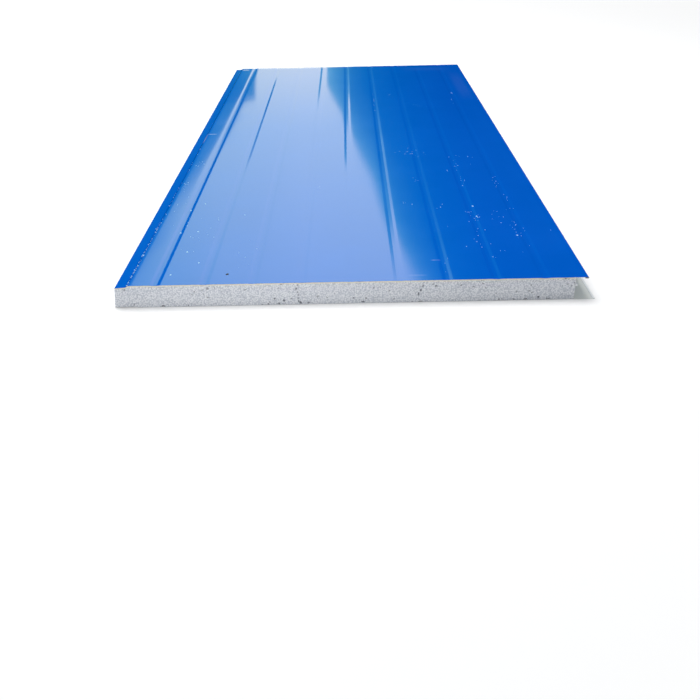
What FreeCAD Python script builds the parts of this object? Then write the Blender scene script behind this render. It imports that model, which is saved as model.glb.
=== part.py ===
import FreeCAD, Part
import math
import os

os.makedirs("parts", exist_ok=True)

# Insulated sandwich panel for walls and roofs, lying on its inner face: two thin painted steel skins
# glued to a core of two bead foam boards. Lengths are in millimetres. X runs across the panel, from
# the foot of its lap side to the flange; Y runs along it; Z runs from the inner face to the outer.

# The panel as it is ordered
cover_width = 950.0         # width that one panel covers, which is also the core's width at its foot
panel_thickness = 50.0      # inner face to outer face
panel_length = 2200.0
sheet_thickness = 0.5

# Core
narrow_board_width = 380.0  # the wide board takes the rest of the cover width
edge_lean = 5.0             # how far the core's lap side leans in, from foot to top

# Outer skin, lip side: it reaches past the core and ends in an open hem
lip_overhang = 26.0
hem_height = 3.0            # over both legs of the hem
hem_return = 7.0

# Inner skin, same side: a flange that ends in a low hem folded onto its upper face
flange_width = 44.0
flange_hem_height = 1.5
flange_hem_return = 5.0

# Lap side: both skins are set in, to take the neighbour's lip and flange
nest_clearance = 1.0        # sideways, between a hem and the step it comes up to
nest_gap = 0.3              # between a hem and the skin that it lies on
strip_fall = 1.5            # how far the outer lap strip drops towards its cut edge
step_run = 6.0              # width of the slope from the lap strip up to the outer face
joggle_run = 4.0            # width of the slope from the inner lap strip down to the inner face

# Stiffening grooves of the outer skin
groove_pitch = 100.0
groove_floor = 8.0
groove_wall_run = 7.0       # width of each sloping wall
groove_depth = 0.7
groove_margin = 55.0        # from the step to the first groove's centre, and the least at the lip side

# Inside bend radii of the sheet
groove_radius = 8.0
step_radius = 3.0
joggle_radius = 1.5

# Derived sizes
overall_width = cover_width + flange_width
lip_end = cover_width + lip_overhang
lap_strip_width = lip_overhang - edge_lean + nest_clearance
lap_strip_foot = edge_lean + lap_strip_width
lap_strip_top = panel_thickness - hem_height - nest_gap
face_start = lap_strip_foot + step_run
inner_lap_width = flange_width + nest_clearance
inner_lap_depth = flange_hem_height + nest_gap
groove_count = 1 + int((cover_width - face_start - 2 * groove_margin) // groove_pitch)
first_groove = face_start + groove_margin


def at(x, z):
    """A point of the panel's cross-section."""
    return FreeCAD.Vector(x, 0, z)


def directions(corners):
    """The unit direction of each straight run between corners."""
    return [(end - start).normalize() for start, end in zip(corners, corners[1:])]


def offset_to_right(corners, distance):
    """The corners of a parallel path to the right of travel, with both ends cut plumb."""
    runs = directions(corners)
    moved = [corners[0] + at(0, -distance / runs[0].x)]
    for corner, into, out in zip(corners[1:-1], runs, runs[1:]):
        side = at(into.z + out.z, -into.x - out.x).normalize()
        moved.append(corner + side * (distance / math.cos(into.getAngle(out) / 2)))
    moved.append(corners[-1] + at(0, -distance / runs[-1].x))
    return moved


def bend_radii(shown, hidden, inside_radii):
    """Radii for both faces of a sheet, concentric at each bend and no larger than its runs allow."""
    shown_radii = []
    hidden_radii = []
    runs = directions(shown)
    for index, inside in enumerate(inside_radii):
        into, out = runs[index], runs[index + 1]
        turns_right = into.z * out.x > into.x * out.z
        slope = math.tan(into.getAngle(out) / 2)
        inner, outer = (hidden, shown) if turns_right else (shown, hidden)
        room = [min((path[index + 1] - path[index]).Length, (path[index + 2] - path[index + 1]).Length)
                / 2 / slope for path in (inner, outer)]
        radius = min(inside, room[0], room[1] - sheet_thickness)
        shown_radii.append(radius + sheet_thickness if turns_right else radius)
        hidden_radii.append(radius if turns_right else radius + sheet_thickness)
    return shown_radii, hidden_radii


def rounded_path(corners, radii):
    """Lines and tangent arcs along the corners, one radius for each corner between the ends."""
    edges = []
    reached = corners[0]
    runs = directions(corners)
    for corner, into, out, radius in zip(corners[1:-1], runs, runs[1:], radii):
        half_turn = into.getAngle(out) / 2
        reach = radius * math.tan(half_turn)
        arc_start = corner - into * reach
        arc_end = corner + out * reach
        towards_centre = (out - into).normalize()
        arc_middle = corner + towards_centre * (radius / math.cos(half_turn) - radius)
        if (arc_start - reached).Length > Part.Precision.confusion():
            edges.append(Part.LineSegment(reached, arc_start).toShape())
        edges.append(Part.Arc(arc_start, arc_middle, arc_end).toShape())
        reached = arc_end
    edges.append(Part.LineSegment(reached, corners[-1]).toShape())
    return edges


def sheet_faces(corners, inside_radii):
    """The painted face and the back face of a bent sheet, as edges of its cross-section."""
    back_corners = offset_to_right(corners, sheet_thickness)
    painted_radii, back_radii = bend_radii(corners, back_corners, inside_radii)
    return rounded_path(corners, painted_radii), rounded_path(back_corners, back_radii)


def first_point(edges):
    return edges[0].firstVertex(True).Point


def last_point(edges):
    return edges[-1].lastVertex(True).Point


def closed_section(upper, lower):
    """The face between two paths that run the same way, closed by a straight line at each end."""
    ends = [Part.makeLine(first_point(upper), first_point(lower)),
            Part.makeLine(last_point(upper), last_point(lower))]
    return Part.Face(Part.Wire(Part.__sortEdges__(upper + lower + ends)))


def outer_face_corners(right_end):
    """The outer face from the lap strip's cut edge to right_end, with the radii of its bends."""
    corners = [at(edge_lean, lap_strip_top - strip_fall), at(lap_strip_foot, lap_strip_top),
               at(face_start, panel_thickness)]
    radii = [step_radius, step_radius]
    for number in range(groove_count):
        centre = first_groove + number * groove_pitch
        floor_z = panel_thickness - groove_depth
        half_floor = groove_floor / 2
        half_mouth = half_floor + groove_wall_run
        corners += [at(centre - half_mouth, panel_thickness), at(centre - half_floor, floor_z),
                    at(centre + half_floor, floor_z), at(centre + half_mouth, panel_thickness)]
        radii += [groove_radius] * 4
    corners.append(at(right_end, panel_thickness))
    return corners, radii


def inner_face_corners(right_end):
    """The inner face from right_end to the lap side's cut edge, with the radii of its bends."""
    corners = [at(right_end, 0), at(inner_lap_width + joggle_run, 0),
               at(inner_lap_width, inner_lap_depth), at(0, inner_lap_depth)]
    return corners, [joggle_radius, joggle_radius]


def outer_skin_section():
    """Roll-formed sheet: lap strip, step, grooved face, lip, and the hem turned back under it."""
    corners, radii = outer_face_corners(lip_end)
    underside = panel_thickness - hem_height
    corners += [at(lip_end, underside), at(lip_end - hem_return, underside)]
    radii += [hem_height / 2 - sheet_thickness] * 2
    return closed_section(*sheet_faces(corners, radii))


def inner_skin_section():
    """Flat sheet: hem turned back over the flange, inner face, joggle and inner lap strip."""
    face, face_radii = inner_face_corners(overall_width)
    hem = [at(overall_width - flange_hem_return, flange_hem_height), at(overall_width, flange_hem_height)]
    radii = [flange_hem_height / 2 - sheet_thickness] * 2 + face_radii
    return closed_section(*sheet_faces(hem + face, radii))


def core_section():
    """The whole core: it fills the space between the backs of both skins."""
    upper = sheet_faces(*outer_face_corners(cover_width))[1]
    lower = sheet_faces(*inner_face_corners(cover_width))[1]
    sides = [Part.makeLine(last_point(upper), first_point(lower)),
             Part.makeLine(last_point(lower), first_point(upper))]
    return Part.Face(Part.Wire(Part.__sortEdges__(upper + lower + sides)))


def board_section(left, right):
    """The part of the core between two plumb cuts."""
    corners = [at(left, 0), at(right, 0), at(right, panel_thickness), at(left, panel_thickness)]
    slice_of_panel = Part.Face(Part.makePolygon(corners + corners[:1]))
    return core_section().common(slice_of_panel).Faces[0]


def make_node(name, section):
    """Run a cross-section along the panel, centre it on the origin and write its file."""
    solid = section.extrude(FreeCAD.Vector(0, panel_length, 0))
    solid.translate(FreeCAD.Vector(-overall_width / 2, -panel_length / 2, 0))
    solid.exportStep(os.path.join("parts", name + ".step"))
    print(name, solid.ShapeType, "valid", solid.isValid(), "volume", round(solid.Volume), "mm3")


make_node("outer_skin", outer_skin_section())
make_node("inner_skin", inner_skin_section())
make_node("core_board_narrow", board_section(0, narrow_board_width))
make_node("core_board_wide", board_section(narrow_board_width, cover_width))
print("grooves", groove_count, "first at", first_groove)
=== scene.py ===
# %% [markdown]
# # Insulated sandwich panel
# A sandwich panel is two thin painted steel skins glued to a light foam core. The blue outer skin is
# roll-formed: one long edge is set down into a lap strip, nine shallow grooves stiffen the face, and the
# other long edge ends in a lip with a hem. The white inner skin is flat, with a flange. The solid model
# of the four pieces is the fixed frame; this file gives each piece its finished surface.

# %% Load the frame
import math
import random

import bmesh
import bpy
from mathutils import Matrix, Vector, noise


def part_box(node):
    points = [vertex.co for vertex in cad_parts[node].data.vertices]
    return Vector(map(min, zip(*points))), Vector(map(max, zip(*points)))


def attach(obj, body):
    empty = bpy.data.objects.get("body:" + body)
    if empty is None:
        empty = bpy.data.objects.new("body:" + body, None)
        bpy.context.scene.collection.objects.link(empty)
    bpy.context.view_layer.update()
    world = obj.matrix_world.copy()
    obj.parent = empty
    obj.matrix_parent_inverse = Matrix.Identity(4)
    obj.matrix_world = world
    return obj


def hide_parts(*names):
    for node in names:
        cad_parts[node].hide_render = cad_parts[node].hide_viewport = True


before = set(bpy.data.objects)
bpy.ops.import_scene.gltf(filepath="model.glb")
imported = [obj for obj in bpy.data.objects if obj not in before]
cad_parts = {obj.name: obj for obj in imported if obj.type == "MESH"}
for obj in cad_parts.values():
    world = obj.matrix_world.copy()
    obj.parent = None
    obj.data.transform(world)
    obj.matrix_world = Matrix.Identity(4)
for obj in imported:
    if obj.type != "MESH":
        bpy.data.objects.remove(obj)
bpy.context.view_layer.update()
scene = bpy.context.scene
MM = 0.001

# %% [markdown]
# ## Sizes
# Places come from the boxes of the solid pieces. Foam dust lies on the outer face and the outside size
# holds for panel and dust together, so the face lies a hair lower than the solid's top. The bends of the
# sheet are small, so their sizes are named here once, as a sheet-metal drawing would name them.

# %% Places of the four pieces
outer_low, outer_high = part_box("outer_skin")
inner_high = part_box("inner_skin")[1]
narrow_low, narrow_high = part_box("core_board_narrow")
wide_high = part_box("core_board_wide")[1]
panel_length = outer_high.y - outer_low.y
near_end, far_end = outer_low.y, outer_high.y
dust_height = 0.3 * MM
face_z = outer_high.z - dust_height
core_foot, core_joint, core_right = narrow_low.x, narrow_high.x, wide_high.x
edge_lean = outer_low.x - core_foot
print("length", round(panel_length, 3), "outer skin", round(outer_high.x - outer_low.x, 3), "wide")

# %% Sizes of the roll-formed sheet
sheet = 0.5 * MM
hem_height = 3.0 * MM
hem_return = 7.0 * MM
flange_hem_height = 1.5 * MM
flange_hem_return = 5.0 * MM
nest_clearance = 1.0 * MM
nest_gap = 0.3 * MM
strip_fall = 1.5 * MM
step_run = 6.0 * MM
joggle_run = 4.0 * MM
groove_count = 9
groove_pitch = 100.0 * MM
groove_floor = 8.0 * MM
groove_wall_run = 7.0 * MM
groove_depth = 0.7 * MM
groove_margin = 55.0 * MM
groove_radius = 8.0 * MM
step_radius = 3.0 * MM
joggle_radius = 1.5 * MM

# How deep each groove is at the far and at the near end, as a share of the depth, from the lap side on.
# The change lies between two places along the sheet, given as shares of its length from the middle.
far_depths = [1.2, 1.25, 0.85, 0.8, 0.85, 0.85, 0.5, 0.7, 0.8]
near_depths = [1.2, 0.8, 0.6, 0.5, 0.4, 0.32, 0.5, 0.85, 1.0]
near_depth_until = -0.28
far_depth_from = 0.02

strip_foot = outer_low.x + (outer_high.x - core_right) - edge_lean + nest_clearance
strip_z = face_z - hem_height - nest_gap
face_start = strip_foot + step_run
first_groove = face_start + groove_margin
groove_centres = [first_groove + n * groove_pitch for n in range(groove_count)]
inner_lap_end = core_foot + (inner_high.x - core_right) + nest_clearance
inner_lap_z = flange_hem_height + nest_gap
print("grooves at", [round(x / MM) for x in groove_centres], "mm")

# %% [markdown]
# ## Helpers
# One function turns a colour as a paint shop writes it into the linear values that shaders use, and one
# adds a node, sets it up and links it. Every material and every Geometry Nodes tree below uses them. A
# pattern's Scale counts its cells in a metre, so it comes from the size of one cell.

# %% Colour and node helpers
def linear(hex_colour):
    """The linear colour for an sRGB hex value such as "#0057BE"."""
    parts = [int(hex_colour[i:i + 2], 16) / 255 for i in (1, 3, 5)]
    return [c / 12.92 if c <= 0.04045 else ((c + 0.055) / 1.055) ** 2.4 for c in parts] + [1.0]


def cells_per_metre(size):
    """The Scale of a pattern whose cells have this size."""
    return 1 / size


def add(tree, kind, inputs=None, **settings):
    """Add a node, set its properties, and give each input named a value or a link."""
    node = tree.nodes.new(kind)
    for name, value in settings.items():
        setattr(node, name, value)
    for name, value in (inputs or {}).items():
        socket = node.inputs[name]
        if isinstance(value, bpy.types.NodeSocket):
            tree.links.new(value, socket)
        else:
            socket.default_value = value
    return node


def new_tree(name, inputs):
    """A Geometry Nodes tree with the given named inputs; returns it with its inputs and its result."""
    tree = bpy.data.node_groups.new(name, "GeometryNodeTree")
    tree.is_modifier = True
    for label, kind in {"Geometry": "Geometry", **inputs}.items():
        tree.interface.new_socket(label, in_out="INPUT", socket_type="NodeSocket" + kind)
    tree.interface.new_socket("Geometry", in_out="OUTPUT", socket_type="NodeSocketGeometry")
    given = tree.nodes.new("NodeGroupInput").outputs
    return tree, given, tree.nodes.new("NodeGroupOutput").inputs["Geometry"]


def new_material(name):
    """An empty material with its output node; returns the material, its tree and its shader input."""
    material = bpy.data.materials.new(name)
    material.use_nodes = True
    tree = material.node_tree
    tree.nodes.clear()
    output = tree.nodes.new("ShaderNodeOutputMaterial")
    return material, tree, output.inputs["Surface"]


# %% [markdown]
# ## Materials
# ### Blue polyester paint
# The outer skin is coil-coated: polyester paint, baked on before the sheet is rolled. It is smooth and
# glossy, so at a low angle it mirrors the sky. All of its gloss is one clear coat layer over a matt
# colour. Noise about 14 cm wide stands for handling haze, fine streaks along the sheet for the rollers,
# and a faint grain for the paint's skin. Scuffs and pale marks have places of their own, in a list; the
# pale mark at the far-left corner of the far end is a painted highlight that stands for light on a curled
# corner.

# %% Marks and a painted highlight on the paint
# Each mark: x and y of its middle, half its size in x and y (all in mm), and its strength. The one at x -448,
# y 1072 is a painted highlight, not a scuff.
marks = [(-450, 40, 17, 6, 0.6), (-466, -5, 3, 60, 0.6), (175, -1000, 12, 3, 0.3), (130, -1075, 22, 6, 0.1),
         (440, 700, 30, 260, 0.03), (335, 1020, 120, 40, 0.03), (-448, 1072, 18, 20, 1.0),
         (-200, 1086, 230, 8, 0.8)]


def mark_and_highlight_mask(tree, place):
    """How strongly the paint takes the pale colour of the scuffs and of the painted corner highlight: the
    strongest of the soft rectangles that the marks make.
    """
    axes = add(tree, "ShaderNodeSeparateXYZ", {0: place})
    strongest = None
    for x, y, half_x, half_y, strength in marks:
        mask = strength
        for axis, centre, half in (("X", x, half_x), ("Y", y, half_y)):
            away = add(tree, "ShaderNodeMath", {0: axes.outputs[axis], 1: centre * MM},
                       operation="SUBTRACT")
            distance = add(tree, "ShaderNodeMath", {0: away.outputs[0]}, operation="ABSOLUTE")
            inside = add(tree, "ShaderNodeMapRange", {
                "Value": distance.outputs[0], "From Min": 0.4 * half * MM, "From Max": half * MM,
                "To Min": 1.0, "To Max": 0.0})
            faded = add(tree, "ShaderNodeMath", {0: inside.outputs[0], 1: mask}, operation="MULTIPLY")
            mask = faded.outputs[0]
        if strongest is not None:
            mask = add(tree, "ShaderNodeMath", {0: strongest, 1: mask}, operation="MAXIMUM").outputs[0]
        strongest = mask
    return strongest


# %% Blue paint
scuff_grain = 8.333 * MM
haze_width = 142.9 * MM
streak_width = 2.857 * MM
skin_grain = 3.846 * MM


def blue_paint():
    material, tree, surface = new_material("blue_polyester_paint")
    place = add(tree, "ShaderNodeTexCoord").outputs["Object"]
    patchy = add(tree, "ShaderNodeTexNoise", {"Vector": place, "Scale": cells_per_metre(scuff_grain),
                                              "Detail": 3.0})
    mark = add(tree, "ShaderNodeMath", {0: mark_and_highlight_mask(tree, place), 1: patchy.outputs["Fac"]},
               operation="MULTIPLY")
    haze = add(tree, "ShaderNodeTexNoise", {"Vector": place, "Scale": cells_per_metre(haze_width),
                                            "Detail": 4.0, "Roughness": 0.6})
    tint = add(tree, "ShaderNodeMix", {"Factor": haze.outputs["Fac"], 6: linear("#0058C3"),
                                       7: linear("#005ECE")}, data_type="RGBA")
    # Pale scuffs, and the painted highlight at the far-left corner, in one lavender-white.
    marks_and_highlight_colour = add(tree, "ShaderNodeMix", {"Factor": mark.outputs[0], 6: tint.outputs[2],
                                         7: linear("#D8DAF2")}, data_type="RGBA")
    stretched = add(tree, "ShaderNodeMapping", {"Vector": place, "Scale": (1.0, 0.02, 1.0)})
    streaks = add(tree, "ShaderNodeTexNoise", {
        "Vector": stretched.outputs[0], "Scale": cells_per_metre(streak_width), "Detail": 2.0})
    rough = add(tree, "ShaderNodeMapRange", {"Value": haze.outputs["Fac"], "From Min": 0.3, "From Max": 0.7,
                                             "To Min": 0.04, "To Max": 0.08})
    grain = add(tree, "ShaderNodeTexNoise", {"Vector": place, "Scale": cells_per_metre(skin_grain),
                                             "Detail": 1.0})
    height = add(tree, "ShaderNodeMath", {0: grain.outputs["Fac"], 1: streaks.outputs["Fac"]},
                 operation="ADD")
    bump = add(tree, "ShaderNodeBump", {"Height": height.outputs[0], "Strength": 0.03, "Distance": 0.2 * MM})
    shader = add(tree, "ShaderNodeBsdfPrincipled", {
        "Base Color": marks_and_highlight_colour.outputs[2], "Roughness": 0.6, "Specular IOR Level": 0.0,
        "Coat Weight": 1.0, "Coat Roughness": rough.outputs[0], "Coat IOR": 1.5,
        "Normal": bump.outputs[0], "Coat Normal": bump.outputs[0]})
    tree.links.new(shader.outputs[0], surface)
    return material


blue = blue_paint()
print("made", blue.name)

# %% [markdown]
# ### Back coat, white paint and cut steel
# The hidden side of each skin carries a thin matt back coat, grey-green on the blue sheet and a grey that
# is nearly white on the white one. The inner skin is white polyester with a soft sheen. Where the coil was
# sheared, a line of bare steel and zinc shows, which glints.

# %% Back coat, white paint and cut edge
def plain_paint(name, dark, light, roughness, streak):
    """A matt or satin coat whose colour drifts between two near values, with roller streaks this wide."""
    material, tree, surface = new_material(name)
    place = add(tree, "ShaderNodeTexCoord").outputs["Object"]
    stretched = add(tree, "ShaderNodeMapping", {"Vector": place, "Scale": (1.0, 0.03, 1.0)})
    streaks = add(tree, "ShaderNodeTexNoise", {
        "Vector": stretched.outputs[0], "Scale": cells_per_metre(streak), "Detail": 3.0})
    tint = add(tree, "ShaderNodeMix", {"Factor": streaks.outputs["Fac"], 6: linear(dark),
                                       7: linear(light)}, data_type="RGBA")
    rough = add(tree, "ShaderNodeMapRange", {"Value": streaks.outputs["Fac"], "To Min": roughness - 0.06,
                                             "To Max": roughness + 0.06})
    bump = add(tree, "ShaderNodeBump", {"Height": streaks.outputs["Fac"], "Strength": 0.1,
                                        "Distance": 0.1 * MM})
    shader = add(tree, "ShaderNodeBsdfPrincipled", {
        "Base Color": tint.outputs[2], "Roughness": rough.outputs[0], "Normal": bump.outputs[0]})
    tree.links.new(shader.outputs[0], surface)
    return material


def cut_steel():
    material, tree, surface = new_material("sheared_galvanised_steel")
    place = add(tree, "ShaderNodeTexCoord").outputs["Object"]
    grain = add(tree, "ShaderNodeTexNoise", {"Vector": place, "Scale": cells_per_metre(1.111 * MM),
                                             "Detail": 2.0})
    tint = add(tree, "ShaderNodeMix", {"Factor": grain.outputs["Fac"], 6: linear("#8E9396"),
                                       7: linear("#C2C6C8")}, data_type="RGBA")
    shader = add(tree, "ShaderNodeBsdfPrincipled", {
        "Base Color": tint.outputs[2], "Metallic": 1.0, "Roughness": 0.42})
    tree.links.new(shader.outputs[0], surface)
    return material


green_back = plain_paint("grey_green_back_coat", "#7C8B85", "#8D9B95", 0.6, 4.545 * MM)
grey_back = plain_paint("pale_grey_back_coat", "#E6E8E6", "#F1F2F0", 0.55, 4.545 * MM)
white = plain_paint("white_polyester_paint", "#E9EDF1", "#F5F7F9", 0.38, 3.333 * MM)
steel_edge = cut_steel()
print("made", green_back.name, grey_back.name, white.name, steel_edge.name)

# %% [markdown]
# ### Bead foam
# Expanded polystyrene is a block of white beads, pressed together hot and cut with a wire. On a cut face
# each bead is a cell with a thin seam round it, and here and there a bead has torn out and left a pit,
# whose shade is painted into the colour as a darker grey. A 3D Voronoi pattern at the beads' real size
# gives the cells; the same pattern shapes the surface below, so colour and relief agree. One attribute marks
# where the outer skin's glue has soaked in, and one how deep a place is dented, because a dent is in its
# own shade, which is painted into the colour as a darker grey too.

# %% Foam
bead_size = 3.2 * MM
pit_share = 0.012
mottle_width = 6.25 * MM
glue_patch = 11.11 * MM


def bead_foam():
    material, tree, surface = new_material("expanded_polystyrene")
    place = add(tree, "ShaderNodeTexCoord").outputs["Object"]
    beads = add(tree, "ShaderNodeTexVoronoi", {"Vector": place, "Scale": cells_per_metre(bead_size)})
    seam = add(tree, "ShaderNodeMapRange", {"Value": beads.outputs["Distance"], "From Min": 0.3,
                                            "From Max": 0.75})
    lot = add(tree, "ShaderNodeSeparateColor", {"Color": beads.outputs["Color"]})
    mottle = add(tree, "ShaderNodeTexNoise", {"Vector": place, "Scale": cells_per_metre(mottle_width),
                                              "Detail": 3.0})
    shade = add(tree, "ShaderNodeMath", {0: lot.outputs["Green"], 1: mottle.outputs["Fac"]},
                operation="MULTIPLY")
    body = add(tree, "ShaderNodeMix", {"Factor": shade.outputs[0], 6: linear("#F2F4F8"),
                                       7: linear("#CFD4DC")}, data_type="RGBA")
    seamed = add(tree, "ShaderNodeMix", {"Factor": seam.outputs[0], 6: body.outputs[2],
                                         7: linear("#C0C5CF")}, data_type="RGBA")
    # Painted shade: a pit where a bead is missing is coloured darker grey for the shade inside it.
    is_pit = add(tree, "ShaderNodeMath", {0: lot.outputs["Red"], 1: pit_share}, operation="LESS_THAN")
    pit_shaded = add(tree, "ShaderNodeMix", {"Factor": is_pit.outputs[0], 6: seamed.outputs[2],
                                         7: linear("#9A9DA4")}, data_type="RGBA")
    # Painted shade: the deeper a dent, the darker grey its colour, for the shade inside it.
    dent = add(tree, "ShaderNodeAttribute", attribute_name="dent", attribute_type="GEOMETRY")
    torn = add(tree, "ShaderNodeMapRange", {"Value": dent.outputs["Fac"], "From Min": 0.5 * MM,
                                            "From Max": 2.0 * MM})
    dented = add(tree, "ShaderNodeMix", {"Factor": torn.outputs[0], 6: pit_shaded.outputs[2],
                                         7: linear("#7E828A")}, data_type="RGBA")
    glue = add(tree, "ShaderNodeAttribute", attribute_name="glue", attribute_type="GEOMETRY")
    patchy = add(tree, "ShaderNodeTexNoise", {"Vector": place, "Scale": cells_per_metre(glue_patch),
                                              "Detail": 2.0})
    glue_here = add(tree, "ShaderNodeMath", {0: glue.outputs["Fac"], 1: patchy.outputs["Fac"]},
                    operation="MULTIPLY")
    glue_sharp = add(tree, "ShaderNodeMapRange", {"Value": glue_here.outputs[0], "From Min": 0.2,
                                                  "From Max": 0.4})
    final = add(tree, "ShaderNodeMix", {"Factor": glue_sharp.outputs[0], 6: dented.outputs[2],
                                        7: linear("#EDE3CE")}, data_type="RGBA")
    bump = add(tree, "ShaderNodeBump", {"Height": beads.outputs["Distance"], "Strength": 0.4,
                                        "Distance": 0.5 * MM}, invert=True)
    shader = add(tree, "ShaderNodeBsdfPrincipled", {
        "Base Color": final.outputs[2], "Roughness": 0.85, "Normal": bump.outputs[0]})
    tree.links.new(shader.outputs[0], surface)
    return material


foam = bead_foam()
print("made", foam.name)

# %% [markdown]
# ## Skins
# A roll-formed sheet is one cross-section that runs the whole length. The section is a short list of
# corners with a bend radius each. A Geometry Nodes tree sweeps it along the panel, and Solidify then
# gives the sheet its thickness, with the back coat inside and bare steel on the cut edges.

# %% Cross-section with round bends
same_place = 0.01 * MM


def bent(corners, radii, arc_step=math.radians(8)):
    """Points along the corners, with an arc of the given radius at each corner between the ends."""
    points = [Vector(corners[0])]
    for before, corner, after, radius in zip(corners, corners[1:], corners[2:], radii):
        corner = Vector(corner)
        into = (corner - Vector(before)).normalized()
        out = (Vector(after) - corner).normalized()
        turn = into.angle_signed(out)
        reach = radius * math.tan(abs(turn) / 2)
        side = Vector((-into.y, into.x)) * (-1 if turn > 0 else 1)
        centre = corner - into * reach + side * radius
        steps = max(2, math.ceil(abs(turn) / arc_step))
        for step in range(steps + 1):
            swing = -turn * step / steps
            arm = Matrix.Rotation(swing, 2) @ (-side * radius)
            points.append(centre + arm)
    points.append(Vector(corners[-1]))
    kept = points[:1]
    for point in points[1:]:
        if (point - kept[-1]).length > same_place:
            kept.append(point)
    return kept


def outer_corners():
    """The painted side of the outer skin, from the lap strip's edge round to the end of the hem."""
    corners = [(outer_low.x, strip_z - strip_fall), (strip_foot, strip_z), (face_start, face_z)]
    radii = [step_radius, step_radius]
    for centre, depth_share in zip(groove_centres, far_depths):
        mouth = groove_floor / 2 + groove_wall_run
        floor_z = face_z - groove_depth * depth_share
        corners += [(centre - mouth, face_z), (centre - groove_floor / 2, floor_z),
                    (centre + groove_floor / 2, floor_z), (centre + mouth, face_z)]
        radii += [groove_radius] * 4
    hem_z = face_z - hem_height
    corners += [(outer_high.x, face_z), (outer_high.x, hem_z), (outer_high.x - hem_return, hem_z)]
    return corners, radii + [hem_height / 2] * 2


def inner_corners():
    """The painted side of the inner skin, from its flange hem round to the lap side's cut edge."""
    corners = [(inner_high.x - flange_hem_return, flange_hem_height), (inner_high.x, flange_hem_height),
               (inner_high.x, 0), (inner_lap_end + joggle_run, 0), (inner_lap_end, inner_lap_z),
               (core_foot, inner_lap_z)]
    return corners, [flange_hem_height / 2] * 2 + [joggle_radius] * 2


def fill_flats(points, longest):
    """Add points so that no straight run of the section is longer than the given length."""
    filled = points[:1]
    for point in points[1:]:
        run = point - filled[-1]
        start = filled[-1]
        pieces = max(1, math.ceil(run.length / longest))
        filled += [start + run * n / pieces for n in range(1, pieces + 1)]
    return filled


outer_section = fill_flats(bent(*outer_corners()), longest=8 * MM)
inner_section = fill_flats(bent(*inner_corners()), longest=40 * MM)
print("outer section", len(outer_section), "points, inner", len(inner_section))

# %% [markdown]
# The tree starts from a flat grid with one column for each point of the section. Each column takes its
# place across the panel from that point, and each row its place along the panel. Thin sheet glued to
# foam is never quite flat: between two grooves it dips up to a tenth of a millimetre, more in some
# places than in others, and the grooves change depth a little between the far and the near end. Both
# bend the reflections, so both are modelled.

# %% Geometry Nodes: sweep a section along the panel
def sweep_tree():
    tree, given, result = new_tree("roll_formed_sheet", {
        "Length": "Float", "Stations": "Int", "Wave": "Float", "Wave Length": "Float", "Seed": "Float",
        "Paint": "Material"})
    size = add(tree, "GeometryNodeAttributeDomainSize", {"Geometry": given["Geometry"]})
    grid = add(tree, "GeometryNodeMeshGrid", {"Size X": 1.0, "Size Y": 1.0, "Vertices X": size.outputs[0],
                                              "Vertices Y": given["Stations"]})
    here = add(tree, "ShaderNodeSeparateXYZ", {0: add(tree, "GeometryNodeInputPosition").outputs[0]})
    last = add(tree, "ShaderNodeMath", {0: size.outputs[0], 1: 1.0}, operation="SUBTRACT")
    share = add(tree, "ShaderNodeMath", {0: here.outputs["X"], 1: 0.5}, operation="ADD")
    column = add(tree, "ShaderNodeMath", {0: share.outputs[0], 1: last.outputs[0]}, operation="MULTIPLY")
    whole = add(tree, "ShaderNodeMath", {0: column.outputs[0]}, operation="ROUND")
    corner = add(tree, "GeometryNodeSampleIndex", {
        "Geometry": given["Geometry"], "Value": add(tree, "GeometryNodeInputPosition").outputs[0],
        "Index": whole.outputs[0]}, data_type="FLOAT_VECTOR")
    dip, fill = (add(tree, "GeometryNodeSampleIndex", {
        "Geometry": given["Geometry"], "Index": whole.outputs[0],
        "Value": add(tree, "GeometryNodeInputNamedAttribute", {"Name": name}).outputs[0]})
        for name in ("dip", "fill"))

    across = add(tree, "ShaderNodeSeparateXYZ", {0: corner.outputs[0]})
    along = add(tree, "ShaderNodeMath", {0: here.outputs["Y"], 1: given["Length"]}, operation="MULTIPLY")
    wave_place = add(tree, "ShaderNodeCombineXYZ", {"X": across.outputs["X"], "Y": along.outputs[0],
                                                    "Z": given["Seed"]})
    wave_scale = add(tree, "ShaderNodeMath", {0: 1.0, 1: given["Wave Length"]}, operation="DIVIDE")
    wave = add(tree, "ShaderNodeTexNoise", {"Vector": wave_place.outputs[0], "Scale": wave_scale.outputs[0],
                                            "Detail": 1.0})
    wave_depth = add(tree, "ShaderNodeMath", {0: wave.outputs["Fac"], 1: given["Wave"]},
                     operation="MULTIPLY")
    sunk = add(tree, "ShaderNodeMath", {0: wave_depth.outputs[0], 1: dip.outputs[0]}, operation="MULTIPLY")
    nearness = add(tree, "ShaderNodeMapRange", {
        "Value": here.outputs["Y"], "From Min": near_depth_until, "From Max": far_depth_from,
        "To Min": 1.0, "To Max": 0.0}, interpolation_type="SMOOTHSTEP")
    filled = add(tree, "ShaderNodeMath", {0: nearness.outputs[0], 1: fill.outputs[0]}, operation="MULTIPLY")
    flat = add(tree, "ShaderNodeMath", {0: across.outputs["Z"], 1: filled.outputs[0]}, operation="ADD")
    level = add(tree, "ShaderNodeMath", {0: flat.outputs[0], 1: sunk.outputs[0]}, operation="SUBTRACT")
    place = add(tree, "ShaderNodeCombineXYZ", {"X": across.outputs["X"], "Y": along.outputs[0],
                                               "Z": level.outputs[0]})
    swept = add(tree, "GeometryNodeSetPosition", {"Geometry": grid.outputs["Mesh"],
                                                  "Position": place.outputs[0]})
    real = add(tree, "GeometryNodeRealizeInstances", {"Geometry": swept.outputs[0]})
    painted = add(tree, "GeometryNodeSetMaterial", {"Geometry": real.outputs[0],
                                                    "Material": given["Paint"]})
    tree.links.new(painted.outputs[0], result)
    return tree


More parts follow.
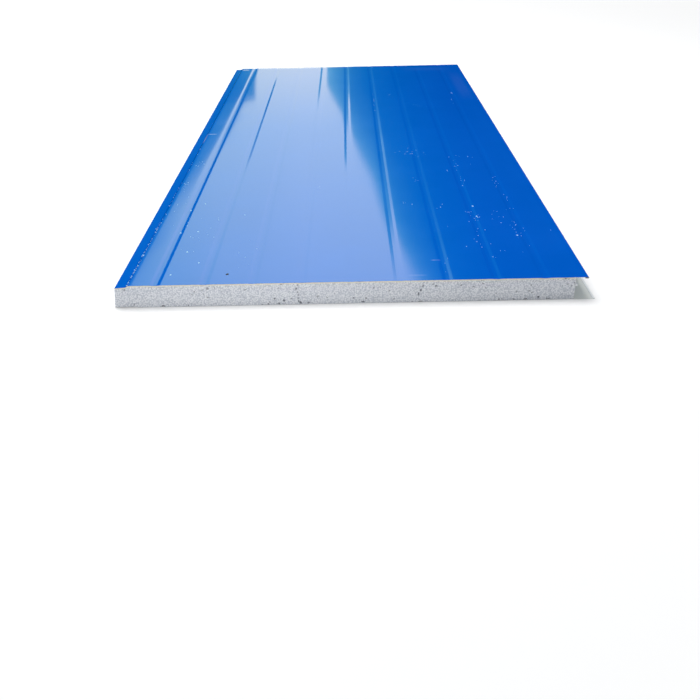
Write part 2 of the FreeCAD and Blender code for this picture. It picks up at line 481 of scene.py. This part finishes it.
sheet_tree = sweep_tree()
print("tree", sheet_tree.name, "with", len(sheet_tree.nodes), "nodes")

# %% Turn a modifier stack into a plain mesh
def link_object(name, mesh):
    piece = bpy.data.objects.new(name, mesh)
    scene.collection.objects.link(piece)
    return piece


def run_tree(piece, tree, **values):
    """Run a Geometry Nodes tree on a piece with these inputs, and keep its result as a plain mesh."""
    modifier = piece.modifiers.new(tree.name, "NODES")
    modifier.node_group = tree
    for item in tree.interface.items_tree:
        key = item.name.replace(" ", "_").lower()
        if item.in_out == "INPUT" and key in values:
            modifier[item.identifier] = values[key]
    keep_result(piece)


def keep_result(piece):
    """Replace a piece's mesh by its evaluated mesh and take its modifiers off."""
    graph = bpy.context.evaluated_depsgraph_get()
    mesh = bpy.data.meshes.new_from_object(piece.evaluated_get(graph), preserve_all_data_layers=True,
                                           depsgraph=graph)
    mesh.name = piece.name
    piece.modifiers.clear()
    piece.data = mesh


# %% The two skins
def section_mesh(name, section, uneven):
    """The section as loose vertices; those of an uneven sheet know how far they dip and fill."""
    mesh = bpy.data.meshes.new(name)
    mesh.from_pydata([(p.x, 0, p.y) for p in section], [], [])
    for label, rule in (("dip", band_dip), ("fill", groove_fill)):
        values = [rule(p) if uneven else 0.0 for p in section]
        mesh.attributes.new(label, "FLOAT", "POINT").data.foreach_set("value", values)
    return mesh


def groove_fill(point):
    """How much higher a point of a groove lies at the near end than at the far end."""
    for centre, far, near in zip(groove_centres, far_depths, near_depths):
        if abs(point.x - centre) < groove_pitch / 2 and point.y > face_z - hem_height / 2:
            return (face_z - point.y) * (1 - near / far)
    return 0.0


def band_dip(point):
    """1 in the middle of the flat band that a point of the outer face lies on, 0 at its edges."""
    edges = [face_start]
    for centre in groove_centres:
        mouth = groove_floor / 2 + groove_wall_run
        edges += [centre - mouth, centre + mouth]
    edges.append(core_right)
    if point.y < face_z - same_place:
        return 0.0
    for low, high in zip(edges[::2], edges[1::2]):
        if low < point.x < high:
            return math.sin(math.pi * (point.x - low) / (high - low)) ** 2
    return 0.0


def skin(name, node, slot, section, uneven, paint, back, **sizes):
    """Sweep a section into a sheet, thicken it inwards and hand it to the frame."""
    piece = link_object(name, section_mesh(name, section, uneven))
    run_tree(piece, sheet_tree, length=panel_length, paint=paint, **sizes)
    for material in (back, steel_edge):
        piece.data.materials.append(material)
    thicken = piece.modifiers.new("sheet", "SOLIDIFY")
    thicken.thickness = sheet
    thicken.offset = -1
    thicken.use_even_offset = True
    thicken.material_offset = 1
    thicken.material_offset_rim = 2
    keep_result(piece)
    piece.data.shade_smooth()
    piece.data.set_sharp_from_angle(angle=math.radians(35))
    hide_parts(node)
    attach(piece, "root")
    print(name, len(piece.data.polygons), "faces")


skin("blue_outer_skin", "outer_skin", "outer_paint", outer_section, True, blue, green_back,
     stations=89, wave=0.08 * MM, wave_length=0.31, seed=3.3)
skin("white_inner_skin", "inner_skin", "inner_paint", inner_section, False, white, grey_back,
     stations=12, wave=0.0, wave_length=1.0, seed=0.0)

# %% [markdown]
# ## Foam core
# The core fills the space between the skins. Each board is a closed block whose two cut ends are fine
# grids, so that single beads, torn pits and dents are real relief there. The long sides stay plain and get
# their grain from the material.

# %% Board blocks
grid_step = 1.0 * MM
relief_room = 6.0 * MM
glue_depth = 2.1 * MM


def level_under(section, x):
    """Height of a section's painted face at a place across the panel."""
    for start, end in zip(section, section[1:]):
        if min(start.x, end.x) <= x <= max(start.x, end.x) and abs(end.x - start.x) > 1e-9:
            return start.y + (end.y - start.y) * (x - start.x) / (end.x - start.x)
    return section[0].y if x <= outer_low.x else face_z


outer_top = [p for p in outer_section if p.y > face_z - hem_height + sheet or p.x < 0]
inner_bottom = [p for p in inner_section if p.x < inner_high.x - flange_hem_return]
clear_of_skin = 1.15 * sheet

# Each dent: x and z of its middle and half its size in x and z, all in mm.
dents = [(-397, 2, 6, 2), (-345, 2, 2, 2), (-147, 9, 3, 3), (-157, 3, 3, 2), (-120, 36, 2, 3),
         (-112, 4, 3, 4), (-166, 14, 2, 2), (-117, 44, 1, 2), (-117, 28, 1, 3), (-116, 21, 1, 2),
         (-117, 14, 1, 3), (-116, 7, 2, 3), (-96, 3, 4, 2), (-2, 12, 2, 2), (17, 3, 5, 2),
         (132, 19, 2, 4), (136, 27, 2, 4), (140, 36, 3, 2), (136, 1, 5, 2), (167, 36, 3, 2),
         (329, 2, 3, 2), (353, 2, 4, 2), (380, 6, 3, 3), (401, 2, 4, 1), (432, 48, 2, 3),
         (446, 30, 2, 1), (451, 37, 2, 1), (438, 34, 2, 1)]
dent_depth = 3.0 * MM
rim_wander = 0.7
rim_waves_per_metre = 350


def dent_at(x, z):
    """How deep the listed dents of the near end are at a place on it."""
    ragged = 1 + rim_wander * noise.noise(Vector((x, 0, z)) * rim_waves_per_metre)
    nearest = min(math.hypot((x / MM - dx) / rx, (z / MM - dz) / rz) for dx, dz, rx, rz in dents)
    return dent_depth * max(0.0, 1 - (nearest * ragged) ** 2)


def board_block(name, left, right, lean):
    """A closed block between the skins, with attributes for its cut ends, the glue and the dents."""
    columns = round((right - left) / grid_step)
    rows = round((face_z - 2 * sheet) / grid_step)
    stations = [near_end, near_end + relief_room, far_end - relief_room, far_end]
    last = len(stations) - 1
    shares = [column / columns for column in range(columns + 1)]

    def point(share, rise, y):
        x = left + lean * rise + share * (right - left - lean * rise)
        bottom = level_under(inner_bottom, x) + clear_of_skin
        top = level_under(outer_top, x) - clear_of_skin
        return x, y, bottom + rise * (top - bottom)

    vertices, faces, ends, glued, dented = [], [], [], [], []
    index = {}

    def vertex(column, row, station):
        key = (column, row, station)
        if key not in index:
            index[key] = len(vertices)
            rise = row / rows
            place = point(shares[column], rise, stations[station])
            vertices.append(place)
            ends.append({0: 1.0, last: -1.0}.get(station, 0.0))
            glued.append(1.0 if (1 - rise) * (rows * grid_step) < glue_depth else 0.0)
            dented.append(dent_at(place[0], place[2]) if station == 0 else 0.0)
        return index[key]

    for column in range(columns):
        for row in range(rows):
            near = [vertex(column + a, row + b, 0) for a, b in ((0, 0), (1, 0), (1, 1), (0, 1))]
            far = [vertex(column + a, row + b, last) for a, b in ((0, 0), (0, 1), (1, 1), (1, 0))]
            faces += [near, far]
    for station in range(last):
        for column in range(columns):
            for row, order in ((0, 1), (rows, -1)):
                loop = [vertex(column, row, station), vertex(column, row, station + 1),
                        vertex(column + 1, row, station + 1), vertex(column + 1, row, station)]
                faces.append(loop[::order])
        for row in range(rows):
            for column, order in ((0, 1), (columns, -1)):
                loop = [vertex(column, row, station), vertex(column, row + 1, station),
                        vertex(column, row + 1, station + 1), vertex(column, row, station + 1)]
                faces.append(loop[::order])
    mesh = bpy.data.meshes.new(name)
    mesh.from_pydata(vertices, [], faces)
    mesh.attributes.new("end", "FLOAT", "POINT").data.foreach_set("value", ends)
    mesh.attributes.new("glue", "FLOAT", "POINT").data.foreach_set("value", glued)
    mesh.attributes.new("dent", "FLOAT", "POINT").data.foreach_set("value", dented)
    print(name, columns, "by", rows, "cells on each end")
    return link_object(name, mesh)


# %% [markdown]
# The relief is a second Geometry Nodes tree. It pushes each point of a cut end inwards: a little along
# the seams between beads and where slow noise says that the cutting wire wandered, and deeply where a bead
# is missing. The larger dents at the near end, placed one by one, have their own attribute.

# %% Geometry Nodes: relief of a cut end
def relief_tree():
    tree, given, result = new_tree("cut_bead_foam", {
        "Bead Size": "Float", "Seam Depth": "Float", "Pit Share": "Float", "Pit Depth": "Float",
        "Wander": "Float", "Foam": "Material"})
    place = add(tree, "GeometryNodeInputPosition").outputs[0]
    per_metre = add(tree, "ShaderNodeMath", {0: 1.0, 1: given["Bead Size"]}, operation="DIVIDE")
    beads = add(tree, "ShaderNodeTexVoronoi", {"Vector": place, "Scale": per_metre.outputs[0]})
    seam = add(tree, "ShaderNodeMath", {0: beads.outputs["Distance"], 1: 2.0}, operation="POWER")
    seams = add(tree, "ShaderNodeMath", {0: seam.outputs[0], 1: given["Seam Depth"]}, operation="MULTIPLY")
    lot = add(tree, "FunctionNodeSeparateColor", {"Color": beads.outputs["Color"]})
    is_pit = add(tree, "ShaderNodeMath", {0: lot.outputs[0], 1: given["Pit Share"]}, operation="LESS_THAN")
    bowl = add(tree, "ShaderNodeMapRange", {"Value": beads.outputs["Distance"], "From Min": 0.1,
                                            "From Max": 0.6, "To Min": 1.0, "To Max": 0.0})
    pit = add(tree, "ShaderNodeMath", {0: is_pit.outputs[0], 1: bowl.outputs[0]}, operation="MULTIPLY")
    pits = add(tree, "ShaderNodeMath", {0: pit.outputs[0], 1: given["Pit Depth"]}, operation="MULTIPLY")
    wander = add(tree, "ShaderNodeTexNoise", {"Vector": place, "Scale": cells_per_metre(40 * MM),
                                              "Detail": 2.0})
    drift = add(tree, "ShaderNodeMath", {0: wander.outputs["Fac"], 1: given["Wander"]},
                operation="MULTIPLY")
    shallow = add(tree, "ShaderNodeMath", {0: seams.outputs[0], 1: pits.outputs[0]}, operation="ADD")
    dent = add(tree, "GeometryNodeInputNamedAttribute", {"Name": "dent"})
    dented = add(tree, "ShaderNodeMath", {0: drift.outputs[0], 1: dent.outputs[0]}, operation="ADD")
    depth = add(tree, "ShaderNodeMath", {0: shallow.outputs[0], 1: dented.outputs[0]}, operation="ADD")
    end = add(tree, "GeometryNodeInputNamedAttribute", {"Name": "end"})
    inwards = add(tree, "ShaderNodeMath", {0: depth.outputs[0], 1: end.outputs[0]}, operation="MULTIPLY")
    push = add(tree, "ShaderNodeCombineXYZ", {"Y": inwards.outputs[0]})
    pushed = add(tree, "GeometryNodeSetPosition", {"Geometry": given["Geometry"],
                                                   "Offset": push.outputs[0]})
    real = add(tree, "GeometryNodeRealizeInstances", {"Geometry": pushed.outputs[0]})
    finished = add(tree, "GeometryNodeSetMaterial", {"Geometry": real.outputs[0],
                                                     "Material": given["Foam"]})
    tree.links.new(finished.outputs[0], result)
    return tree


foam_tree = relief_tree()


def foam_board(name, node, left, right, lean):
    piece = board_block(name, left, right, lean)
    run_tree(piece, foam_tree, bead_size=bead_size, seam_depth=0.6 * MM, pit_share=pit_share,
             pit_depth=2.2 * MM, wander=0.5 * MM, foam=foam)
    piece.data.shade_smooth()
    piece.data.set_sharp_from_angle(angle=math.radians(60))
    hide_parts(node)
    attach(piece, "root")
    print(name, len(piece.data.polygons), "faces")


foam_board("foam_board_narrow", "core_board_narrow", core_foot, core_joint, edge_lean)
foam_board("foam_board_wide", "core_board_wide", core_joint, core_right, 0.0)

# %% [markdown]
# ## Dust and crumbs
# Sawn bead foam sheds crumbs, which cling to the paint. On the open face they are flakes as thin as the
# dust height, and the blue shows through them a little; beside the step, where the lap strip lies lower,
# whole beads fit. A list gives each patch of dust its place and spread, and seeded random numbers place
# the crumbs in it. A few larger crumbs that lie alone have places of their own.

# %% Geometry Nodes: crumbs
def crumb_tree():
    tree, given, result = new_tree("foam_crumbs", {"Seed": "Int", "Crumb": "Material"})
    ball = add(tree, "GeometryNodeMeshUVSphere", {"Segments": 8, "Rings": 5, "Radius": 0.5})
    girth = add(tree, "GeometryNodeInputNamedAttribute", {"Name": "girth"})
    height = add(tree, "GeometryNodeInputNamedAttribute", {"Name": "height"})
    stretch = add(tree, "FunctionNodeRandomValue", {2: 1.1, 3: 1.8, "Seed": given["Seed"]},
                  data_type="FLOAT")
    longer = add(tree, "ShaderNodeMath", {0: girth.outputs[0], 1: stretch.outputs[1]},
                 operation="MULTIPLY")
    size = add(tree, "ShaderNodeCombineXYZ", {"X": girth.outputs[0], "Y": longer.outputs[0],
                                              "Z": height.outputs[0]})
    spin = add(tree, "FunctionNodeRandomValue", {2: -0.3, 3: 0.3, "Seed": given["Seed"]},
               data_type="FLOAT")
    turn = add(tree, "ShaderNodeCombineXYZ", {"Z": spin.outputs[1]})
    crumbs = add(tree, "GeometryNodeInstanceOnPoints", {
        "Points": given["Geometry"], "Instance": ball.outputs["Mesh"], "Rotation": turn.outputs[0],
        "Scale": size.outputs[0]})
    real = add(tree, "GeometryNodeRealizeInstances", {"Geometry": crumbs.outputs[0]})
    finished = add(tree, "GeometryNodeSetMaterial", {"Geometry": real.outputs[0],
                                                     "Material": given["Crumb"]})
    tree.links.new(finished.outputs[0], result)
    return tree


crumbs_tree = crumb_tree()

# %% Crumb and speck materials
def plain_matt(name, colour, roughness):
    material, tree, surface = new_material(name)
    place = add(tree, "ShaderNodeTexCoord").outputs["Object"]
    grain = add(tree, "ShaderNodeTexNoise", {"Vector": place, "Scale": cells_per_metre(1.4286 * MM),
                                             "Detail": 2.0})
    bump = add(tree, "ShaderNodeBump", {"Height": grain.outputs["Fac"], "Strength": 0.3,
                                        "Distance": 0.2 * MM})
    shader = add(tree, "ShaderNodeBsdfPrincipled", {
        "Base Color": linear(colour), "Roughness": roughness, "Specular IOR Level": 0.1,
        "Normal": bump.outputs[0]})
    tree.links.new(shader.outputs[0], surface)
    return material


crumb_white = plain_matt("loose_bead_foam", "#A4D0F0", 0.8)
bead_white = plain_matt("whole_bead", "#F2F4F6", 0.8)
speck_dark = plain_matt("dark_speck", "#2E2A28", 0.7)

# %% Patches of dust
# Each patch: x and y of its middle, half its spread in x and y (all in mm), and how many crumbs.
patches = [(-466, -990, 2, 140, 66), (-466, -760, 3, 90, 22), (-466, -560, 3, 110, 10),
           (-466, -300, 3, 120, 8), (-452, -480, 10, 60, 14), (-447, -290, 9, 60, 8),
           (-440, -620, 14, 80, 6), (-398, -760, 2, 130, 5), (-370, -850, 22, 120, 9),
           (-325, -760, 25, 90, 5), (-260, -950, 40, 100, 7), (-85, -500, 8, 30, 4), (90, 460, 6, 90, 9),
           (152, 555, 4, 25, 3), (235, 370, 30, 90, 5), (391, 560, 2, 25, 5), (378, 450, 4, 40, 4),
           (185, -210, 40, 50, 16), (175, -470, 8, 30, 4), (140, -645, 14, 12, 4), (215, -720, 10, 90, 5),
           (296, -320, 8, 70, 8), (300, -480, 10, 70, 8), (265, -390, 10, 30, 3), (385, -480, 12, 60, 8),
           (350, -270, 40, 30, 5), (292, -760, 16, 50, 16), (280, -870, 14, 50, 6),
           (382, -830, 12, 90, 20), (345, -740, 14, 50, 7), (458, -840, 4, 8, 1), (395, -620, 10, 90, 5),
           (330, -960, 80, 60, 6), (200, -1000, 12, 60, 3)]
crumb_girths = (1.0, 1.3, 1.7, 2.3)
scatter = 0.6
# Larger crumbs that lie alone: x and y in mm.
single_crumbs = [(-375, -620), (-405, -665), (-405, -815), (-365, -810), (-370, -930), (-385, -1050),
                 (-335, -990), (-265, -705), (300, -675), (300, -745), (375, -870)]
single_girth = 4.5
edge_margin = 4 * MM
speck_place = (-266 * MM, -1052 * MM, 7 * MM)
random.seed(7)


def crumb_points(name, places):
    """A mesh of points (x, y, girth) on the paint, each with a height that stays under the outside size.

    A flake shows its upper half, and a whole bead is raised so that it lies on the paint.
    """
    corners, girths, heights = [], [], []
    for x, y, girth in places:
        ground = level_under(outer_top, x)
        height = min(girth * 0.8, outer_high.z - ground)
        raised = 0.0 if height < girth * 0.5 else height * 0.4
        corners.append((x, y, ground + raised))
        girths.append(girth)
        heights.append(2 * (height - raised))
    mesh = bpy.data.meshes.new(name)
    mesh.from_pydata(corners, [], [])
    mesh.attributes.new("girth", "FLOAT", "POINT").data.foreach_set("value", girths)
    mesh.attributes.new("height", "FLOAT", "POINT").data.foreach_set("value", heights)
    return link_object(name, mesh)


dust_places = [(x * MM, y * MM, single_girth * MM) for x, y in single_crumbs]
for x, y, spread_x, spread_y, count in patches:
    for _ in range(count):
        dust_places.append(((x + random.gauss(0, scatter) * spread_x) * MM,
                            max(near_end + edge_margin, (y + random.gauss(0, scatter) * spread_y) * MM),
                            random.choice(crumb_girths) * MM))
dust = crumb_points("foam_dust", dust_places)
run_tree(dust, crumbs_tree, seed=11, crumb=crumb_white)
speck = crumb_points("dark_speck", [speck_place])
run_tree(speck, crumbs_tree, seed=2, crumb=speck_dark)
for piece in (dust, speck):
    piece.data.shade_smooth()
    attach(piece, "root")
print(len(dust_places), "crumbs,", len(dust.data.polygons), "faces")

# %% A bead that clings to the wide board's side
bead_radius = 3.2 * MM
bead_place = Vector((core_right + 2.6 * MM, near_end + bead_radius + 0.2 * MM, 32 * MM))
bead_mesh = bpy.data.meshes.new("clinging_bead")
bead_shape = bmesh.new()
bmesh.ops.create_icosphere(bead_shape, subdivisions=3, radius=bead_radius,
                           matrix=Matrix.Translation(bead_place))
bead_shape.to_mesh(bead_mesh)
bead_shape.free()
bead_mesh.materials.append(bead_white)
bead_mesh.shade_smooth()
bead = link_object("clinging_bead", bead_mesh)
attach(bead, "root")
print("bead at", [round(v / MM, 1) for v in bead_place], "mm")

# %% [markdown]
# ## Studio
# The panel lies on a plain pale floor under soft light. The glossy paint needs something to mirror: a
# pale sky with two tall dark flags behind the far end, which leave a wedge of sky between them. These
# cards light nothing and cast no shadow, and the camera sees them only as reflections. The coat mirrors
# a small share of them, so the sky card is brighter than white. A large soft lamp lights the panel from
# above, and a small narrow one its cut end.

# %% Floor
def floor_material():
    """Pale floor that keeps the panel's shadow, and to the camera turns whiter further away."""
    material, tree, surface = new_material("pale_floor")
    ray = add(tree, "ShaderNodeLightPath")
    diffuse = add(tree, "ShaderNodeBsdfDiffuse", {"Color": (0.8, 0.8, 0.8, 1.0)})
    place = add(tree, "ShaderNodeTexCoord").outputs["Object"]
    away = add(tree, "ShaderNodeVectorMath", {0: place}, operation="LENGTH")
    level = add(tree, "ShaderNodeMapRange", {"Value": away.outputs["Value"], "From Min": 2.5, "From Max": 9.0,
                                             "To Min": 0.2, "To Max": 0.75}, interpolation_type="SMOOTHSTEP")
    seen = add(tree, "ShaderNodeMath", {0: ray.outputs["Is Camera Ray"], 1: level.outputs[0]},
               operation="MULTIPLY")
    glow = add(tree, "ShaderNodeEmission", {"Color": (1.0, 1.0, 1.0, 1.0), "Strength": seen.outputs[0]})
    both = add(tree, "ShaderNodeAddShader", {0: diffuse.outputs[0], 1: glow.outputs[0]})
    tree.links.new(both.outputs[0], surface)
    return material


def flat_card(name, corners, material):
    mesh = bpy.data.meshes.new(name)
    mesh.from_pydata(corners, [], [list(range(len(corners)))])
    mesh.materials.append(material)
    card = link_object(name, mesh)


floor_reach = 40.0
flat_card("floor", [(-floor_reach, -floor_reach, 0), (floor_reach, -floor_reach, 0),
                    (floor_reach, floor_reach, 0), (-floor_reach, floor_reach, 0)], floor_material())

# %% Cards that show only in reflections
def card_material():
    """A card that glows in the colour that its glow attribute gives."""
    material, tree, surface = new_material("studio_card")
    glow = add(tree, "ShaderNodeAttribute", attribute_name="glow", attribute_type="GEOMETRY")
    light = add(tree, "ShaderNodeEmission", {"Color": glow.outputs["Color"], "Strength": 1.0})
    tree.links.new(light.outputs[0], surface)
    return material


def standing_card(name, y, columns, glows, material):
    """A card that stands across the view, from columns of points (x, z) and a colour for each point."""
    rows = len(columns[0])
    corners = [(x, y, z) for column in columns for x, z in column]
    faces = [[(c + 1) * rows + r, c * rows + r, c * rows + r + 1, (c + 1) * rows + r + 1]
             for c in range(len(columns) - 1) for r in range(rows - 1)]
    mesh = bpy.data.meshes.new(name)
    mesh.from_pydata(corners, [], faces)
    mesh.materials.append(material)
    values = [part for column in glows for colour in column for part in (*colour, 1.0)]
    mesh.attributes.new("glow", "FLOAT_COLOR", "POINT").data.foreach_set("color", values)
    card = link_object(name, mesh)
    card.visible_camera = False
    card.visible_diffuse = False
    card.visible_shadow = False


card_glow = card_material()
flag_distance = 5.0
sky_distance = 6.0
# The sky by height (z, colour), and how much of it is left at each place across (x, share).
sky_levels = [(0.0, (1.4, 1.5, 1.0)), (0.95, (1.44, 1.54, 1.08)), (1.6, (1.28, 1.58, 1.26)),
              (3.3, (1.7, 2.17, 1.68)), (8.0, (1.7, 2.17, 1.68))]
sky_shares = [(-9.0, (0.5, 0.66, 0.45)), (-2.3, (0.6, 0.77, 0.55)), (-1.5, (0.84, 0.9, 0.77)),
              (-0.5, (1.0, 1.0, 1.0)), (9.0, (1.0, 1.0, 1.0))]


def between(steps, place):
    """The colour at a place in a list of (place, colour)."""
    for (low, below), (high, above) in zip(steps, steps[1:]):
        if place <= high:
            share = (place - low) / (high - low)
            return tuple(b + (a - b) * share for b, a in zip(below, above))
    return steps[-1][1]


def sky_at(x, z):
    """The colour of the sky card, which changes with height and dims towards the left."""
    return tuple(level * share for level, share in zip(between(sky_levels, z), between(sky_shares, x)))


def greener(z):
    """How much greener the dim part of a flag is at a height: up to 30 % between 1.3 m and 2.2 m."""
    return 1 + 0.3 * min(1, max(0, (z - 1.3) / 0.9))


def sky_beside(x, z):
    """The sky's colour that shows next to a point of a flag; the sky card stands further off."""
    return sky_at(x * 1.15, z * 1.2)


def dark_flag(name, edge, falls, side):
    """A flag that starts dim along an uneven edge and turns black further out.

    The edge is a list of (x, z, width of its soft rim), and falls a list of (distance, colour).
    """
    columns = [[(x + side * share * width, z) for x, z, width in edge] for share in (-0.5, 0.5)]
    columns += [[(x + side * (width / 2 + out), z) for x, z, width in edge] for out, colour in falls[1:]]
    glows = [[sky_beside(x, z) for x, z in columns[0]]]
    glows += [[(red, green * greener(z), blue) for x, z, width in edge]
              for out, (red, green, blue) in falls]
    standing_card(name, flag_distance, columns[::side], glows[::side], card_glow)


standing_card("sky_card", sky_distance, [[(x, z) for z, colour in sky_levels] for x, share in sky_shares],
              [[sky_at(x, z) for z, colour in sky_levels] for x, share in sky_shares], card_glow)
dark_flag("flag_right", [(-0.19, 0.0, 0.03), (-0.19, 0.82, 0.03), (-0.19, 0.95, 0.04), (-0.13, 1.09, 0.05),
                         (-0.06, 1.22, 0.05), (0.05, 1.47, 0.06), (0.22, 1.86, 0.08), (0.35, 2.27, 0.12),
                         (0.52, 2.6, 0.12), (0.62, 2.82, 0.12), (0.69, 2.94, 0.13), (1.9, 6.0, 0.5)],
          [(0.0, (0.28, 0.76, 0.58)), (0.07, (0.14, 0.52, 0.42)), (0.16, (0.06, 0.34, 0.3)),
           (0.32, (0.01, 0.18, 0.2)), (0.6, (0.0, 0.08, 0.12)), (1.0, (0.0, 0.02, 0.06)),
           (9.0, (0.0, 0.0, 0.03))], 1)
dark_flag("flag_left", [(-0.83, 0.0, 0.03), (-0.83, 0.82, 0.03), (-0.86, 1.07, 0.03), (-0.98, 1.1, 0.08),
                        (-1.07, 1.25, 0.15), (-1.28, 1.52, 0.1), (-1.52, 1.83, 0.1), (-1.75, 2.13, 0.12),
                        (-1.94, 2.44, 0.16), (-2.17, 2.74, 0.18), (-4.4, 6.0, 0.6)],
          [(0.0, (0.12, 0.46, 0.34)), (0.12, (0.04, 0.29, 0.24)), (0.35, (0.01, 0.16, 0.14)),
           (0.8, (0.0, 0.07, 0.05)), (9.0, (0.0, 0.01, 0.0))], -1)

# %% Light
def sky():
    """A dim sky to light with, which the camera and reflections see as white."""
    world = bpy.data.worlds.new("soft_sky")
    world.use_nodes = True
    tree = world.node_tree
    tree.nodes.clear()
    ray = add(tree, "ShaderNodeLightPath")
    direct = add(tree, "ShaderNodeMath", {0: ray.outputs["Is Camera Ray"], 1: ray.outputs["Is Glossy Ray"]},
                 operation="ADD")
    shown = add(tree, "ShaderNodeMath", {0: direct.outputs[0], 1: ray.outputs["Is Transmission Ray"]},
                operation="ADD", use_clamp=True)
    light = add(tree, "ShaderNodeBackground", {"Color": (0.96, 0.98, 1.0, 1.0), "Strength": 0.395})
    white_sky = add(tree, "ShaderNodeBackground", {"Color": (1.0, 1.0, 1.0, 1.0), "Strength": 1.0})
    mixed = add(tree, "ShaderNodeMixShader", {0: shown.outputs[0], 1: light.outputs[0],
                                              2: white_sky.outputs[0]})
    output = tree.nodes.new("ShaderNodeOutputWorld")
    tree.links.new(mixed.outputs[0], output.inputs["Surface"])
    return world


scene.world = sky()


def softbox(name, place, target, size, energy, spread=180):
    lamp_data = bpy.data.lights.new(name, "AREA")
    lamp_data.shape = "DISK"
    lamp_data.size = size
    lamp_data.energy = energy
    lamp_data.spread = math.radians(spread)
    lamp = bpy.data.objects.new(name, lamp_data)
    scene.collection.objects.link(lamp)
    lamp.visible_camera = False
    lamp.location = place
    lamp.rotation_euler = (Vector(target) - lamp.location).to_track_quat("-Z", "Y").to_euler()


softbox("high_softbox", (-1.5, 1.0, 6.0), target=(0, 0, 0), size=5.0, energy=380.0)
softbox("front_softbox", (-0.25, -2.05, 0.4), target=(-0.22, near_end, 0.02), size=0.5, energy=0.4,
        spread=75)

# %% [markdown]
# ## Camera
# The camera stands a metre and a half in front of the near end, about 0.7 m above the face, and looks
# down along the panel.

# %% Camera
def aim(pitch, yaw, roll):
    """The camera's axes for a look along +Y, turned down by pitch, right by yaw and rolled."""
    ahead = Vector((math.sin(yaw) * math.cos(pitch), math.cos(yaw) * math.cos(pitch), -math.sin(pitch)))
    right = Vector((math.cos(yaw), -math.sin(yaw), 0))
    up = right.cross(ahead)
    rolled_right = right * math.cos(roll) + up * math.sin(roll)
    rolled_up = up * math.cos(roll) - right * math.sin(roll)
    return Matrix((rolled_right, rolled_up, -ahead)).transposed()


camera_data = bpy.data.cameras.new("camera")
camera_data.sensor_width = 36.0
camera_data.lens = 41.5
camera = bpy.data.objects.new("camera", camera_data)
scene.collection.objects.link(camera)
camera.matrix_world = Matrix.Translation((-0.007, -2.594, 0.758)) @ aim(
    pitch=math.radians(30.2), yaw=math.radians(-0.2), roll=math.radians(-1.21)).to_4x4()
scene.camera = camera
scene.view_settings.view_transform = "Standard"
